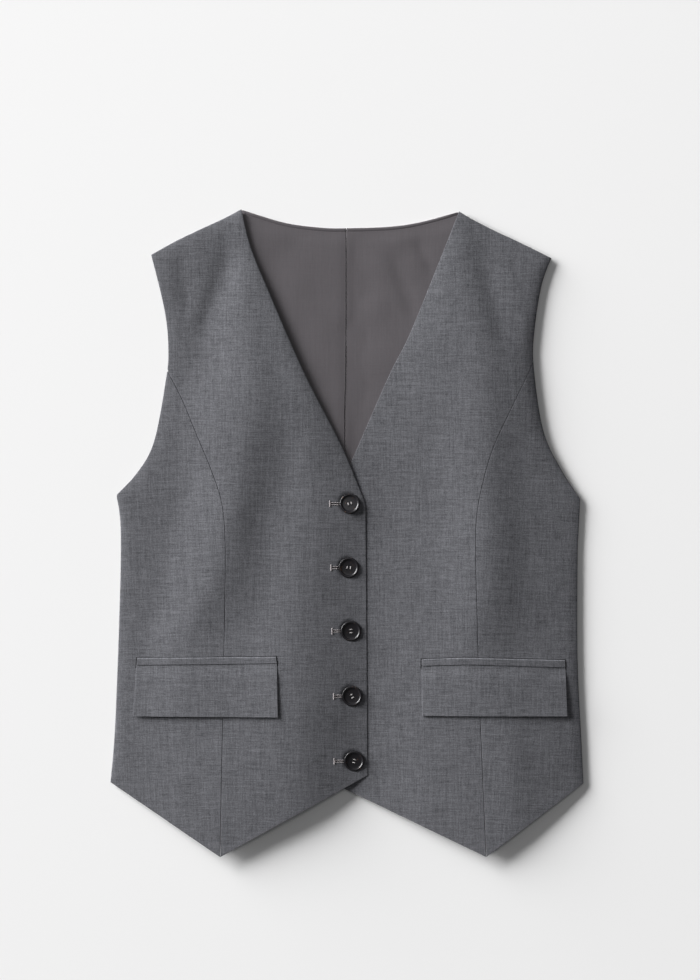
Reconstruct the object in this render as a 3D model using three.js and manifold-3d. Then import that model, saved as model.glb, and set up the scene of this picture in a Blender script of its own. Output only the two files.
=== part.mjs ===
// A tailored suit waistcoat for a woman, buttoned up and laid flat on its back.
// Millimetres. +Z is up, +Y runs towards the neck and +X towards the wearer's left side.
// The origin is on the surface it lies on, under the middle of its outline.
//
// The back shell lies flat on the surface, the back lining lies on the shell, and each front, cut
// in a centre and a side panel, is sewn to the back at the shoulder and the side and bulges up
// over the lining. The right front laps over the left and carries the buttonholes.
import * as THREE from "three";
import { mergeVertices } from "three/addons/utils/BufferGeometryUtils.js";
import Module from "manifold-3d";

const wasm = await Module();
wasm.setup();

// ---- Driving dimensions ------------------------------------------------------------------
const SUITING = 1.2; // wall of an interlined front
const SHELL = 1.2; // wall of the back shell
const LINING = 1.0; // wall of the back lining
const SEAM = 0.3; // space between two pieces at a seam, or between a piece and what it lies on
const LIGNE_30 = 19; // diameter of a 30-ligne button
const NECK_BAND = 3.0; // width of the shell's edge turned over the lining at the back neck
const LINING_TOP = SHELL + SEAM + LINING;
const SEWN_TOP = SHELL + SEAM + SUITING; // top of a front where it is sewn to the back

// ---- The cut, laid flat ------------------------------------------------------------------
// Every edge runs from the neck end to the hem end, or from the side to the middle.
const CUT = {
  right: {
    shoulder: [[-182.5, 259], [-162, 270.5], [-139.5, 281.5], [-114.5, 293], [-98.5, 301.5]],
    armhole: [[-182.5, 259], [-170, 207], [-166.5, 170], [-169, 142], [-179.5, 86.5], [-194, 58],
      [-215, 35]],
    side: [[-215, 35], [-211.5, 12], [-211, -25.5], [-213, -99.5], [-216.5, -185], [-220.5, -232.5]],
    princess: [[-167.3, 150.5], [-154, 125], [-140.5, 92.5], [-125.5, 56.5], [-116, 26],
      [-113, -11.5], [-113.5, -62.5], [-115, -150], [-118, -301.5]],
    neck: [[-98.5, 301.5], [-89.5, 265.5], [-74, 227.5], [-40, 149.5], [-6, 83], [13, 40.5],
      [18, 26.5]],
    edge: [[18, 26.5], [18.5, -6.5], [20.5, -226]],
  },
  left: {
    shoulder: [[190.5, 256], [161, 270.5], [137.5, 281.5], [116, 292.5], [104.5, 299.5]],
    armhole: [[190.5, 256], [181.5, 231], [175, 190], [174, 156], [183, 95.5], [200, 58.5],
      [217.5, 31.5]],
    side: [[217.5, 31.5], [216, 2.5], [215, -25.5], [215, -118.5], [218.5, -192.5], [220.5, -233.5]],
    princess: [[173.9, 160.5], [168.5, 147.5], [151, 111.5], [134, 73.5], [122, 26],
      [119.5, -15], [121.5, -93], [124, -174], [129.5, -301.5]],
    neck: [[104.5, 299.5], [86.5, 254], [58, 184], [39, 146], [4, 66], [-10, 35], [-15, 12]],
    edge: [[-15, 12], [-15, -100], [-15, -232.5]],
  },
};
const NECKLINE = [[-98.5, 301.5], [-82, 296], [-55.5, 288.5], [-24, 284.5], [1, 284], [41, 285.5],
  [70, 290], [104.5, 299.5]];
const CENTRE_BACK = { x: 0.5, neck: 284, hem: -227 }; // the seam down the middle of the back
// How far the shell and the lining stop inside the edges of the fronts, and the lining above the hem.
const BACK_IN = 0.8;
const LINING_IN = { edge: 9, hem: 12 };

// Each pocket: the welt's top edge, the flap's top and bottom edges, each from the side to the
// middle, and how far the flap stands off at its lower edge and at its side end.
const POCKETS = {
  right: {
    weltTop: [[-195.5, -116.5], [-66, -115]],
    flapTop: [[-196, -123.4], [-65, -121.4]],
    flapBottom: [[-199, -171], [-64, -171.5]],
    lowerLift: 1.0, sideLift: 0.5,
  },
  left: {
    weltTop: [[203, -118.5], [109.5, -116], [69.5, -117.5]],
    flapTop: [[203.5, -125.6], [109.5, -122.6], [69.5, -124.1]],
    flapBottom: [[205, -171], [70, -170.5]],
    lowerLift: 0.7, sideLift: 0.8,
  },
};
const BUTTONS = [[2.5, 27], [1.5, -32.5], [3.5, -91.5], [4.5, -152], [6.5, -212.5]];

// ---- How the fronts bulge ----------------------------------------------------------------
// Height of the fronts above the surface in sections, from the shoulders to the points: at each y, the
// height at the edge, the x and height of four places across the front, and the height at the other
// edge. Both fronts stand up in soft crests over the bust and fall to the buttons and the side seams.
const SECTIONS = {
  // y, side edge, side panel, bust crest, bust hollow, front crest, lap edge
  right: [
    [302, 5.2, [-120, 5.4], [-106, 5.6], [-103, 5.7], [-101, 5.7], 5.7],
    [254, 4.9, [-112, 5], [-97, 6], [-93, 6.2], [-90, 6.3], 6.3],
    [212, 4.5, [-128, 4.7], [-91, 7.8], [-84, 7.8], [-77, 7.6], 7.4],
    [162, 4.3, [-142, 4.6], [-86, 9.7], [-68, 9.1], [-58, 8.9], 8.5],
    [114, 4.1, [-160, 4.8], [-87, 11.2], [-54, 9.8], [-40, 9.8], 9.4],
    [58, 4, [-160, 4.9], [-98, 10.8], [-58, 8.5], [-32, 9.4], 8.2],
    [2, 4, [-168, 4.7], [-110, 10.5], [-73, 8], [-34, 9.2], 6.2],
    [-53, 4, [-178, 4.7], [-124, 9.5], [-79, 8], [-40, 9.7], 5.6],
    [-109, 4, [-190, 4.9], [-148, 8.3], [-105, 9], [-48, 10.8], 5.5],
    [-165, 4, [-190, 5], [-150, 7.9], [-105, 9.7], [-50, 12], 5.5],
    [-221, 4, [-190, 5.1], [-150, 7.8], [-105, 10], [-54, 11.6], 5.4],
    [-302, 4, [-190, 4.8], [-150, 7], [-105, 8.4], [-60, 8], 5.4],
  ],
  // y, neck edge, under the lap, middle, bust crest, side panel, side edge
  left: [
    [302, 5.7, [106, 5.7], [108, 5.8], [112, 5.9], [120, 5.7], 5.2],
    [254, 5.4, [90, 5.8], [98, 6.4], [106, 6.7], [124, 6.1], 4.9],
    [198, 5, [68, 5.5], [92, 7.6], [118, 8.5], [143, 7.2], 4.5],
    [142, 5, [44, 5.4], [84, 7.6], [124, 9.5], [152, 7.8], 4.4],
    [86, 4.9, [24, 5.2], [80, 7.2], [128, 9.9], [158, 7.4], 4.2],
    [2, 4.7, [20, 4.8], [80, 6.9], [130, 10.8], [168, 7], 4],
    [-53, 4.6, [20, 4.7], [80, 7.3], [131, 10.9], [168, 7.2], 4],
    [-109, 4.6, [20, 4.7], [80, 7.6], [118, 9.2], [165, 7.2], 4],
    [-221, 4.6, [20, 4.7], [80, 7.7], [150, 9.1], [180, 7.2], 4],
    [-302, 4.6, [20, 4.7], [80, 7.6], [145, 8.8], [180, 7.2], 4],
  ],
};
// A front falls towards its edges over this width and keeps this share of its bulge at the edge.
const ROLLS = {
  right: { side: { width: 11, share: 0.3 }, armhole: { width: 15, share: 0.5 },
    shoulder: { width: 22, share: 0.42 }, neck: { width: 9, share: 0.85 } },
  left: { side: { width: 11, share: 0.3 }, armhole: { width: 15, share: 0.5 },
    shoulder: { width: 22, share: 0.42 } },
};
// The left front dips to pass under the right one.
const LAP_DIP = { from: 48, to: 25, depth: 0.7 };
// Soft troughs, along a line through three points. before and after are the half widths on the
// wearer's right and left.
const FOLDS = [
  { name: "right shoulder hollow", line: [[-114, 284], [-122, 240], [-138, 188]], height: -0.9, before: 9, after: 9 },
  { name: "right armhole hollow", line: [[-160, 262], [-160, 232], [-150, 196]], height: -0.6, before: 8, after: 9 },
  { name: "left shoulder hollow", line: [[122, 282], [131, 226], [150, 160]], height: -0.8, before: 9, after: 12 },
];

// ---- Lines and areas on the plane ---------------------------------------------------------
const STEPS = 10; // straight stretches between two points of a curve

function curved(points) {
  const spline = new THREE.SplineCurve(points.map(([x, y]) => new THREE.Vector2(x, y)));
  return spline.getPoints(STEPS * (points.length - 1)).map((p) => [p.x, p.y]);
}

function lengthsAlong(path) {
  const lengths = [0];
  for (let i = 1; i < path.length; i++)
    lengths.push(lengths[i - 1] + Math.hypot(path[i][0] - path[i - 1][0], path[i][1] - path[i - 1][1]));
  return lengths;
}

const lengthOf = (path) => lengthsAlong(path).at(-1);

// The point at a share of a path's length.
function pointAt(path, share) {
  const lengths = lengthsAlong(path);
  const wanted = share * lengths.at(-1);
  let i = 1;
  while (i < path.length - 1 && lengths[i] < wanted) i++;
  const s = (wanted - lengths[i - 1]) / (lengths[i] - lengths[i - 1]);
  return [0, 1].map((k) => path[i - 1][k] + (path[i][k] - path[i - 1][k]) * s);
}

const { clamp, lerp, smoothstep } = THREE.MathUtils;
const even = (n, from = 0, to = 1) => Array.from({ length: n + 1 }, (_, i) => lerp(from, to, i / n));

// The part of a path between two shares of its length, as n even steps.
const part = (path, from, to, n) => even(n, from, to).map((share) => pointAt(path, share));

// A path moved sideways: a positive distance moves it to its own left.
function moved(path, distance) {
  return path.map((p, i) => {
    const a = path[Math.max(i - 1, 0)];
    const b = path[Math.min(i + 1, path.length - 1)];
    const length = Math.hypot(b[0] - a[0], b[1] - a[1]);
    return [p[0] - ((b[1] - a[1]) / length) * distance, p[1] + ((b[0] - a[0]) / length) * distance];
  });
}

// An edge of an area is a function from 0 to 1: one path, or two that meet at a share of it.
const along = (path) => (t) => pointAt(path, t);
const joined = (first, second, at) => (t) =>
  t < at ? pointAt(first, t / at) : pointAt(second, (t - at) / (1 - at));

// The nearest place of a path: how far off, at what share of its length, and on which side.
function distanceTo(path, x, y) {
  let nearest = { distance: Infinity };
  const lengths = lengthsAlong(path);
  for (let i = 1; i < path.length; i++) {
    const [a, b] = [path[i - 1], path[i]];
    const [dx, dy] = [b[0] - a[0], b[1] - a[1]];
    const s = clamp(((x - a[0]) * dx + (y - a[1]) * dy) / (dx * dx + dy * dy), 0, 1);
    const distance = Math.hypot(x - a[0] - s * dx, y - a[1] - s * dy);
    if (distance < nearest.distance)
      nearest = {
        distance,
        share: (lengths[i - 1] + s * (lengths[i] - lengths[i - 1])) / lengths.at(-1),
        right: (x - a[0]) * dy - (y - a[1]) * dx > 0,
      };
  }
  return nearest;
}

const EDGES = Object.fromEntries(
  Object.entries(CUT).map(([side, cut]) => [
    side,
    Object.fromEntries(Object.entries(cut).map(([name, points]) => [name, curved(points)])),
  ]),
);
const NECK_EDGE = curved(NECKLINE);
const FOLD_LINES = FOLDS.map((fold) => ({ ...fold, path: curved(fold.line) }));

// ---- The surface of the fronts -------------------------------------------------------------
// A smooth curve through values at rising places. Its slopes are given by slopesOf or stationSlopes.
function hermite(places, values, slopes, at) {
  const last = places.length - 2;
  const i = clamp(places.findIndex((place) => place > at) - 1, 0, last);
  const k = at >= places.at(-1) ? last : i;
  const span = places[k + 1] - places[k];
  const t = clamp((at - places[k]) / span, 0, 1);
  return (
    (2 * t ** 3 - 3 * t ** 2 + 1) * values[k] + (t ** 3 - 2 * t ** 2 + t) * span * slopes[k] +
    (3 * t ** 2 - 2 * t ** 3) * values[k + 1] + (t ** 3 - t ** 2) * span * slopes[k + 1]
  );
}

// Slopes between neighbours' secants, each weighted by the other's span.
function slopesOf(places, values) {
  const secants = values.slice(1).map((value, i) => (value - values[i]) / (places[i + 1] - places[i]));
  const spans = places.slice(1).map((place, i) => place - places[i]);
  return values.map((_, i) => {
    if (i === 0) return secants[0];
    if (i === values.length - 1) return secants.at(-1);
    return (secants[i - 1] * spans[i] + secants[i] * spans[i - 1]) / (spans[i - 1] + spans[i]);
  });
}

// Slopes that are level at every crest and hollow.
function stationSlopes(places, values) {
  const secants = values.slice(1).map((value, i) => (value - values[i]) / (places[i + 1] - places[i]));
  return values.map((_, i) => {
    if (i === 0) return secants[0];
    if (i === values.length - 1) return secants.at(-1);
    const [a, b] = [secants[i - 1], secants[i]];
    return a * b > 0 ? (2 * a * b) / (a + b) : 0;
  });
}

// The x of an edge that only runs downwards, at a height on the plane.
function xAt(path, y) {
  if (y >= path[0][1]) return path[0][0];
  const i = path.findIndex((p) => p[1] <= y);
  if (i < 0) return path.at(-1)[0];
  const [a, b] = [path[i - 1], path[i]];
  return lerp(a[0], b[0], (y - a[1]) / (b[1] - a[1] || 1));
}

const COLUMNS = Object.fromEntries(
  Object.entries(SECTIONS).map(([side, rows]) => {
    const table = rows.toReversed().map((row) => row.flat());
    const [levels, ...columns] = table[0].map((_, i) => table.map((row) => row[i]));
    return [side, { levels, columns: columns.map((values) => ({ values, slopes: slopesOf(levels, values) })) }];
  }),
);

// Height of a front's outer face from its sections, before its rolled edges and troughs.
function sectionHeight(side, x, y) {
  const { levels, columns } = COLUMNS[side];
  const at = columns.map(({ values, slopes }) => hermite(levels, values, slopes, y));
  const { armhole, side: sideEdge, neck, edge } = EDGES[side];
  const ends = [xAt([...armhole, ...sideEdge.slice(1)], y), xAt([...neck, ...edge.slice(1)], y)];
  if (side === "left") ends.reverse();
  const places = [ends[0], at[1], at[3], at[5], at[7], ends[1]];
  for (let i = 1; i < 5; i++) places[i] = clamp(places[i], places[i - 1] + 1, ends[1] - 5 + i);
  const heights = [at[0], at[2], at[4], at[6], at[8], at[9]];
  return hermite(places, heights, stationSlopes(places, heights), clamp(x, places[0], places[5]));
}

function foldHeight(x, y) {
  return FOLD_LINES.reduce((sum, fold) => {
    const near = distanceTo(fold.path, x, y);
    const width = near.right ? fold.before : fold.after;
    const fade = smoothstep(near.share, 0, 0.3) * (1 - smoothstep(near.share, 0.7, 1));
    return sum + fold.height * fade * Math.exp(-((near.distance / width) ** 2));
  }, 0);
}

// A quarter of an ellipse that rises from the edge of a cloth to its full height.
function rollAt(edge, { width, share }, x, y) {
  const s = Math.min(1, distanceTo(edge, x, y).distance / width);
  return share + (1 - share) * Math.sqrt(1 - (1 - s) ** 2);
}

// Height of the outer face of a front.
function frontHeight(side, x, y) {
  const lift = Object.entries(ROLLS[side]).reduce(
    (share, [name, roll]) => share * rollAt(EDGES[side][name], roll, x, y),
    1,
  );
  const { from, to, depth } = LAP_DIP;
  const dip = side === "left" ? depth * smoothstep((x - from) / (to - from), 0, 1) : 0;
  return SEWN_TOP + (sectionHeight(side, x, y) - dip + foldHeight(x, y) - SEWN_TOP) * lift;
}

// A point on a front's outer face, moved out along the face's normal.
function onFront(side, [x, y], out) {
  const step = 0.4;
  const slope = (dx, dy) =>
    (frontHeight(side, x + dx, y + dy) - frontHeight(side, x - dx, y - dy)) / (2 * step);
  const normal = new THREE.Vector3(-slope(step, 0), -slope(0, step), 1).normalize();
  return normal.multiplyScalar(out).add(new THREE.Vector3(x, y, frontHeight(side, x, y)));
}

// ---- Walls of cloth --------------------------------------------------------------------------
// A grid over the area between four edges, which meet at the corners. Its columns run from the
// outer edge to the inner one and its rows from the top to the bottom.
function patch({ outer, inner, top, bottom }, columns, rows) {
  return rows.map((v) =>
    columns.map((u) => {
      const [o, n, t, b] = [outer(v), inner(v), top(u), bottom(u)];
      const [topOuter, topInner, bottomOuter, bottomInner] = [outer(0), inner(0), outer(1), inner(1)];
      return [0, 1].map(
        (k) =>
          (1 - v) * t[k] + v * b[k] + (1 - u) * o[k] + u * n[k] -
          (1 - v) * ((1 - u) * topOuter[k] + u * topInner[k]) -
          v * ((1 - u) * bottomOuter[k] + u * bottomInner[k]),
      );
    }),
  );
}

// Shares that lie closer together near 0, where the cloth rolls over.
const rolled = (n, power) => even(n).map((share) => share ** power);

// A closed wall between two faces over one grid.
function wall(grid, face, back) {
  const [rows, columns] = [grid.length, grid[0].length];
  const points = [face, back].flatMap((place) => grid.flat().map((p) => place(p)));
  const at = (layer, row, column) => (layer * rows + row) * columns + column;
  const quads = [];
  for (let r = 1; r < rows; r++)
    for (let c = 1; c < columns; c++) {
      quads.push([at(0, r - 1, c - 1), at(0, r, c - 1), at(0, r, c), at(0, r - 1, c)]);
      quads.push([at(1, r - 1, c), at(1, r, c), at(1, r, c - 1), at(1, r - 1, c - 1)]);
    }
  const [lastRow, lastColumn] = [rows - 1, columns - 1];
  for (let r = 1; r < rows; r++) {
    quads.push([at(0, r, 0), at(0, r - 1, 0), at(1, r - 1, 0), at(1, r, 0)]);
    quads.push([at(0, r - 1, lastColumn), at(0, r, lastColumn), at(1, r, lastColumn), at(1, r - 1, lastColumn)]);
  }
  for (let c = 1; c < columns; c++) {
    quads.push([at(0, 0, c - 1), at(0, 0, c), at(1, 0, c), at(1, 0, c - 1)]);
    quads.push([at(0, lastRow, c), at(0, lastRow, c - 1), at(1, lastRow, c - 1), at(1, lastRow, c)]);
  }
  const mirrored = grid.at(-1).at(-1)[0] < grid.at(-1)[0][0];
  const triangles = quads.flatMap(([a, b, c, d]) => (mirrored ? [a, c, b, a, d, c] : [a, b, c, a, c, d]));
  const geometry = new THREE.BufferGeometry();
  geometry.setAttribute("position", new THREE.Float32BufferAttribute(points.flatMap((p) => [...p]), 3));
  geometry.setIndex(triangles);
  geometry.computeVertexNormals();
  return geometry;
}

const SUITING_GREY = new THREE.MeshStandardMaterial({ color: 0x63646a, roughness: 0.9, metalness: 0 });
const LINING_GREY = new THREE.MeshStandardMaterial({ color: 0x635e60, roughness: 0.55, metalness: 0 });
const BUTTON_BLACK = new THREE.MeshStandardMaterial({ color: 0x17161a, roughness: 0.25, metalness: 0 });

const garment = new THREE.Group();

function add(name, geometry, material) {
  const mesh = new THREE.Mesh(geometry, material);
  mesh.name = name;
  garment.add(mesh);
  return mesh;
}

// ---- Fronts: a centre panel and a side panel, joined by the princess seam --------------------
const CENTRE_GRID = { columns: 13, armholeRows: 6, neckRows: 17 };
const SIDE_GRID = { columns: 9, armholeRows: 8 };
const SEAM_ROWS = 26; // both panels have their points along the princess seam at the same places
const PANEL_TOP = 16; // how much of the armhole is the top edge of the side panel

for (const side of ["right", "left"]) {
  const cut = EDGES[side];
  const toMiddle = side === "right" ? 1 : -1; // a path's own left is towards the middle on the right
  const seam = part(cut.princess, 0, 1, SEAM_ROWS);
  const meeting = distanceTo(cut.armhole, ...seam[0]).share;
  const addFront = (name, area, columns, rows) =>
    add(
      `front_${side}_${name}`,
      wall(
        patch(area, columns, rows),
        (p) => onFront(side, p, 0),
        (p) => onFront(side, p, -SUITING),
      ),
      SUITING_GREY,
    );

  const centreRows = CENTRE_GRID.armholeRows + SEAM_ROWS;
  const centreSeam = moved(seam, (toMiddle * SEAM) / 2);
  const upperArmhole = [...part(cut.armhole, 0, meeting, STEPS).slice(0, -1), centreSeam[0]];
  const centre = {
    outer: joined(upperArmhole, centreSeam, CENTRE_GRID.armholeRows / centreRows),
    inner: joined(cut.neck, cut.edge, CENTRE_GRID.neckRows / centreRows),
    top: along(cut.shoulder),
    bottom: along([centreSeam.at(-1), cut.edge.at(-1)]),
  };
  addFront("centre", centre, rolled(CENTRE_GRID.columns, 1.15), even(centreRows));

  const sideSeam = moved(seam, (-toMiddle * SEAM) / 2);
  const corner = meeting + PANEL_TOP / lengthOf(cut.armhole);
  const panel = {
    outer: joined(part(cut.armhole, corner, 1, STEPS), cut.side, SIDE_GRID.armholeRows / SEAM_ROWS),
    inner: along(sideSeam),
    top: along([...part(cut.armhole, corner, meeting, STEPS).slice(0, -1), sideSeam[0]]),
    bottom: along([cut.side.at(-1), sideSeam.at(-1)]),
  };
  addFront("side", panel, rolled(SIDE_GRID.columns, 1.7), even(SEAM_ROWS));
}

// ---- Back shell and back lining, each in two halves with a centre back seam ------------------
// The shell's neck edge is turned over, as high as the lining, and sinks to nothing at its ends.
function shellTop(x, y) {
  const { distance, share } = distanceTo(NECK_EDGE, x, y);
  const ends = smoothstep(Math.min(share, 1 - share), 0, 0.05);
  return SHELL + LINING * ends * (1 - smoothstep(distance, NECK_BAND - 0.3, NECK_BAND));
}

const flat = (height) => ([x, y]) => new THREE.Vector3(x, y, height);

for (const side of ["right", "left"]) {
  const cut = EDGES[side];
  const toMiddle = side === "right" ? 1 : -1;
  const middle = CENTRE_BACK.x - (toMiddle * SEAM) / 2;
  const neckHalf = [
    ...(side === "right" ? NECK_EDGE : NECK_EDGE.toReversed()).filter(([x]) => (middle - x) * toMiddle > 1),
    [middle, CENTRE_BACK.neck],
  ];
  const armholeShare = lengthOf(cut.armhole) / (lengthOf(cut.armhole) + lengthOf(cut.side));
  const half = {
    outer: joined(cut.armhole, cut.side, armholeShare),
    inner: along([[middle, CENTRE_BACK.neck], [middle, CENTRE_BACK.hem]]),
    top: joined(cut.shoulder, neckHalf, 0.5),
    bottom: along([cut.side.at(-1), [middle, CENTRE_BACK.hem]]),
  };
  const width = Math.abs(cut.side.at(-1)[0]);
  const height = CENTRE_BACK.neck - CENTRE_BACK.hem;

  // Rows at the neck band's fold and just past it, where the shell comes down to its own thickness.
  const bandRows = [0, NECK_BAND - 0.4, NECK_BAND + 0.2].map((depth) => depth / height);
  const armholeRows = even(7, 0.03, armholeShare);
  const sideRows = even(7, armholeShare, 1 - BACK_IN / height).slice(1);
  add(
    `back_${side}`,
    wall(
      patch(half, even(12, BACK_IN / width, 1), [...bandRows, ...armholeRows, ...sideRows]),
      ([x, y]) => new THREE.Vector3(x, y, shellTop(x, y)),
      flat(0),
    ),
    LINING_GREY,
  );
  const liningFrom = (NECK_BAND + 2 * SEAM) / height;
  add(
    `lining_${side}`,
    wall(
      patch(half, even(12, LINING_IN.edge / width, 1), even(10, liningFrom, 1 - LINING_IN.hem / height)),
      flat(LINING_TOP),
      flat(LINING_TOP - LINING),
    ),
    LINING_GREY,
  );
}

// ---- Pockets: a welt with a flap hanging from it ----------------------------------------------
const WELT = 1; // how thick the welt lies on the front

for (const side of ["right", "left"]) {
  const { weltTop, flapTop, flapBottom, lowerLift, sideLift } = POCKETS[side];
  const weltBottom = flapTop.map(([x, y]) => [x, y + SEAM]);
  const between = (top, bottom) => ({
    top: along(top),
    bottom: along(bottom),
    outer: along([top[0], bottom[0]]),
    inner: along([top.at(-1), bottom.at(-1)]),
  });
  // How far the flap stands off the front: it lifts towards its lower edge and its side end.
  const standOff = ([x, y]) => {
    const lower = clamp((flapTop[0][1] - y) / (flapTop[0][1] - flapBottom[0][1]), 0, 1);
    const outer = clamp((x - flapTop.at(-1)[0]) / (flapTop[0][0] - flapTop.at(-1)[0]), 0, 1);
    return SEAM + lower ** 1.5 * (lowerLift + sideLift * outer ** 3);
  };
  add(
    `welt_${side}`,
    wall(
      patch(between(weltTop, weltBottom), even(10), even(2)),
      (p) => onFront(side, p, SEAM + WELT),
      (p) => onFront(side, p, SEAM),
    ),
    SUITING_GREY,
  );
  add(
    `flap_${side}`,
    wall(
      patch(between(flapTop, flapBottom), even(10), even(5)),
      (p) => onFront(side, p, standOff(p) + SUITING),
      (p) => onFront(side, p, standOff(p)),
    ),
    SUITING_GREY,
  );
}

// ---- Buttons: four holes in a dished face inside a round rim ----------------------------------
const BUTTON = { radius: LIGNE_30 / 2, thickness: 2.6, dish: 1.6, rim: 2.0, sides: 32 };
const HOLES = { count: 4, radius: 0.85, out: 2.3, sides: 8 };

function solidOf(geometry) {
  geometry.deleteAttribute("normal");
  geometry.deleteAttribute("uv");
  const merged = mergeVertices(geometry);
  const corners = Array.from(merged.index.array);
  const triangles = [];
  for (let i = 0; i < corners.length; i += 3) {
    const triangle = corners.slice(i, i + 3);
    if (new Set(triangle).size === 3) triangles.push(...triangle);
  }
  return new wasm.Manifold(
    new wasm.Mesh({
      numProp: 3,
      vertProperties: merged.getAttribute("position").array,
      triVerts: new Uint32Array(triangles),
    }),
  );
}

function buttonGeometry() {
  const { radius, thickness, dish, rim, sides } = BUTTON;
  const profile = [
    [0, 0],
    [radius - 2.4, 0],
    [radius - 0.6, 0.7],
    [radius, 1.4],
    [radius - 0.35, thickness - 0.5],
    [radius - rim / 2, thickness],
    [radius - rim, thickness - 0.4],
    [radius - rim - 1.2, dish + 0.15],
    [0, dish],
  ].map(([r, z]) => new THREE.Vector2(r, z));
  let solid = solidOf(new THREE.LatheGeometry(profile, sides).rotateX(Math.PI / 2));
  for (let i = 0; i < HOLES.count; i++) {
    const angle = ((i + 0.5) / HOLES.count) * 2 * Math.PI;
    const hole = new THREE.CylinderGeometry(HOLES.radius, HOLES.radius, 2 * thickness, HOLES.sides)
      .rotateX(Math.PI / 2)
      .translate(HOLES.out * Math.cos(angle), HOLES.out * Math.sin(angle), dish / 2);
    solid = solid.subtract(solidOf(hole));
  }
  const mesh = solid.getMesh();
  const geometry = new THREE.BufferGeometry();
  geometry.setAttribute("position", new THREE.BufferAttribute(mesh.vertProperties.slice(), 3));
  geometry.setIndex(new THREE.BufferAttribute(mesh.triVerts.slice(), 1));
  geometry.computeVertexNormals();
  return geometry;
}

const buttonShape = buttonGeometry();
BUTTONS.forEach((place, i) => {
  const button = add(`button_${i + 1}`, buttonShape, BUTTON_BLACK);
  const seat = onFront("right", place, 0);
  const normal = onFront("right", place, 1).sub(seat);
  button.position.copy(seat).addScaledVector(normal, SEAM);
  button.quaternion.setFromUnitVectors(new THREE.Vector3(0, 0, 1), normal);
});

export default garment;
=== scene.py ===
"""A woman's grey suit waistcoat, buttoned up and laid flat on its back on a white table.

Lengths in the tables are millimetres, as a cutter would write them, and become metres in each mesh.
+X is the wearer's left, +Y runs towards the neck and +Z is up from the table.
"""
import math

import bpy
import numpy as np
from mathutils import Matrix, Vector


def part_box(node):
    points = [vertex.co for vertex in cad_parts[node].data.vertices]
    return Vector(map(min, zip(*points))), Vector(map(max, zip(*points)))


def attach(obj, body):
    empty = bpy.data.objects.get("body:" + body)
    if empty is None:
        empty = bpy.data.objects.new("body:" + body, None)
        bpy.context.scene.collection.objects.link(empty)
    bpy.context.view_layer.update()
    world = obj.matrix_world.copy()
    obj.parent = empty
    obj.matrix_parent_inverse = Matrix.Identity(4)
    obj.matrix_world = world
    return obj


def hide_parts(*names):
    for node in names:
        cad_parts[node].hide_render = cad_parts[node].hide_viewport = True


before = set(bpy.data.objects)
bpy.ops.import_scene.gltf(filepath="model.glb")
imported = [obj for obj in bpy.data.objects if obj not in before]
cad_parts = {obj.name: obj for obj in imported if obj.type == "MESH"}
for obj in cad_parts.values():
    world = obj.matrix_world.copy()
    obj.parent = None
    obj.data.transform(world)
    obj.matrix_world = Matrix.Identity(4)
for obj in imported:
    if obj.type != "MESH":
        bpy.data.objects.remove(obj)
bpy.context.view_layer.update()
MM = 0.001

# ---- Table, lamps and camera ----------------------------------------------------------------------
# The waistcoat lies on a matt white table. One broad lamp stands low on the wearer's right, a little
# towards the neck, and a ceiling panel and pale walls soften its shadows. The camera looks straight down.
scene = bpy.context.scene
scene.view_settings.view_transform = "Standard"

FRAME_HEIGHT = 911.4 * MM  # how much of the table the camera sees from top to bottom
FRAME_CENTRE = (2.8 * MM, 39.8 * MM)
CLOTH_LEVEL = 8 * MM
LENS, SENSOR = 85, 36

camera = bpy.data.objects.new("camera", bpy.data.cameras.new("camera"))
camera.data.lens = LENS
camera.data.sensor_width = SENSOR
camera.data.clip_end = 50
camera.location = (*FRAME_CENTRE, CLOTH_LEVEL + FRAME_HEIGHT * LENS / SENSOR)
scene.collection.objects.link(camera)
scene.camera = camera

LAMPS = [
    # name, azimuth from +X, elevation, distance (m), width and height seen from the cloth, watts
    ("key_lamp", 150, 13.4, 20.0, 42, 25, 17150),
    ("ceiling_panel", 80, 73, 3.0, 17, 13, 6),
]
for name, azimuth, elevation, distance, width, height, watts in LAMPS:
    lamp = bpy.data.objects.new(name, bpy.data.lights.new(name, "AREA"))
    lamp.data.shape = "RECTANGLE"
    lamp.data.size = 2 * distance * math.tan(math.radians(width / 2))
    lamp.data.size_y = 2 * distance * math.tan(math.radians(height / 2))
    lamp.data.energy = watts
    turn, lift = math.radians(azimuth), math.radians(elevation)
    towards = Vector((math.cos(turn) * math.cos(lift), math.sin(turn) * math.cos(lift), math.sin(lift)))
    lamp.location = towards * distance
    lamp.rotation_euler = towards.to_track_quat("Z", "Y").to_euler()
    scene.collection.objects.link(lamp)

world = bpy.data.worlds.new("pale_walls")
world.use_nodes = True
world.node_tree.nodes["Background"].inputs["Color"].default_value = (0.99, 0.995, 1, 1)
world.node_tree.nodes["Background"].inputs["Strength"].default_value = 0.13
scene.world = world


def material(name, **sockets):
    """A new Principled material with these constant sockets: (material, its tree, its shader)."""
    made = bpy.data.materials.new(name)
    made.use_nodes = True
    shader = made.node_tree.nodes["Principled BSDF"]
    for socket, value in sockets.items():
        shader.inputs[socket.replace("_", " ")].default_value = value
    return made, made.node_tree, shader


def node(tree, kind, inputs=(), **settings):
    """A new node, with its inputs set to values or linked from other nodes' outputs."""
    made = tree.nodes.new(kind)
    for setting, value in settings.items():
        setattr(made, setting, value)
    for socket, value in dict(inputs).items():
        if isinstance(value, bpy.types.NodeSocket):
            tree.links.new(value, made.inputs[socket])
        else:
            made.inputs[socket].default_value = value
    return made


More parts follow.
